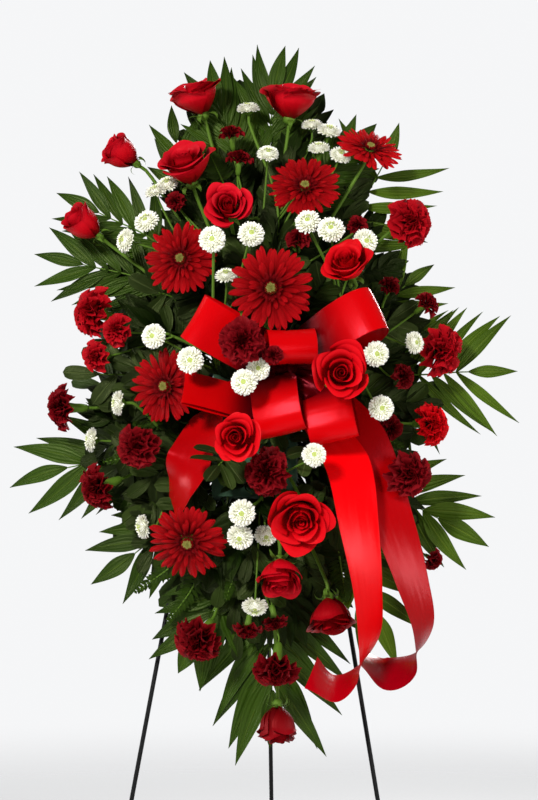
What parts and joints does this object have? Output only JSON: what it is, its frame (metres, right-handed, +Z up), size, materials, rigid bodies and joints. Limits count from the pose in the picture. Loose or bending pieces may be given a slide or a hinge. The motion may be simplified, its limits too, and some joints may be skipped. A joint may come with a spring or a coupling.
{
  "type": "standing funeral spray",
  "caption": "Standing funeral spray of red flowers, white button poms, palm fronds and a satin ribbon bow in wet foam, hung on a folding wire tripod easel.",
  "frame": {"origin": "on the floor, under the middle of the whole object's box", "axes": "+Z up, +Y towards the rear leg, the flowers face -Y, +X to the right as seen from the front"},
  "size_m": [0.7638, 0.6822, 1.5702],
  "materials": {
    "wire": "satin",
    "foam": "matte",
    "tray": "satin",
    "ribbon": "satin",
    "rose": "satin",
    "gerbera": "satin",
    "carnation_dark": "matte",
    "carnation_red": "matte",
    "pom": "matte",
    "palm": "satin",
    "leaf": "satin"
  },
  "bodies": {
    "spray_and_front_frame": {"bow_loops": "ribbon", "bow_streamer_back": "ribbon", "bow_streamer_front": "ribbon", "bow_tail_left": "ribbon", "carnation_bottom_left": "carnation_dark", "carnation_bow_left": "carnation_dark", "carnation_far_left": "carnation_dark", "carnation_far_right": "carnation_red", "carnation_left_low": "carnation_red", "carnation_lower_left": "carnation_dark", "carnation_middle": "carnation_dark", "carnation_right": "carnation_dark", "carnation_right_high": "carnation_red", "carnations_bottom": "carnation_dark", "carnations_left": "carnation_red", "carnations_right_low": "carnation_dark", "easel_hinge_bar": "wire", "easel_leg_left": "wire", "easel_leg_right": "wire", "easel_lower_rail": "wire", "easel_upper_rail": "wire", "foam_block": "foam", "foam_tray": "tray", "gerbera_left": "gerbera", "gerbera_left_high": "gerbera", "gerbera_low_left": "gerbera", "gerbera_middle": "gerbera", "gerbera_top_right": "gerbera", "gerbera_upper_right": "gerbera", "leaves_front": "leaf", "leaves_left": "leaf", "leaves_right": "leaf", "palm_bottom": "palm", "palm_left": "palm", "palm_lower_left": "palm", "palm_lower_right": "palm", "palm_right": "palm", "palm_top": "palm", "poms_left": "pom", "poms_left_high": "pom", "poms_low_middle": "pom", "poms_middle": "pom", "poms_right": "pom", "poms_top": "pom", "rose_bow_left": "rose", "rose_bow_right": "rose", "rose_far_left": "rose", "rose_left_high": "rose", "rose_low_middle": "rose", "rose_nodding_middle": "rose", "rose_nodding_right": "rose", "rose_right_high": "rose", "rose_tip": "rose", "rose_top_left": "rose", "rose_top_right": "rose", "rose_upper_left": "rose", "rose_upper_middle": "rose", "small_carnations_right": "carnation_dark", "small_carnations_top": "carnation_dark"},
    "rear_leg": {"easel_rear_leg": "wire"}
  },
  "joints": [
    {"name": "rear_leg_fold", "type": "hinge", "parent": "spray_and_front_frame", "child": "rear_leg", "pos_m": [-0.01584, 0.00779, 1.3763], "axis": [1, 0, 0], "range_deg": [-20, 0]}
  ]
}
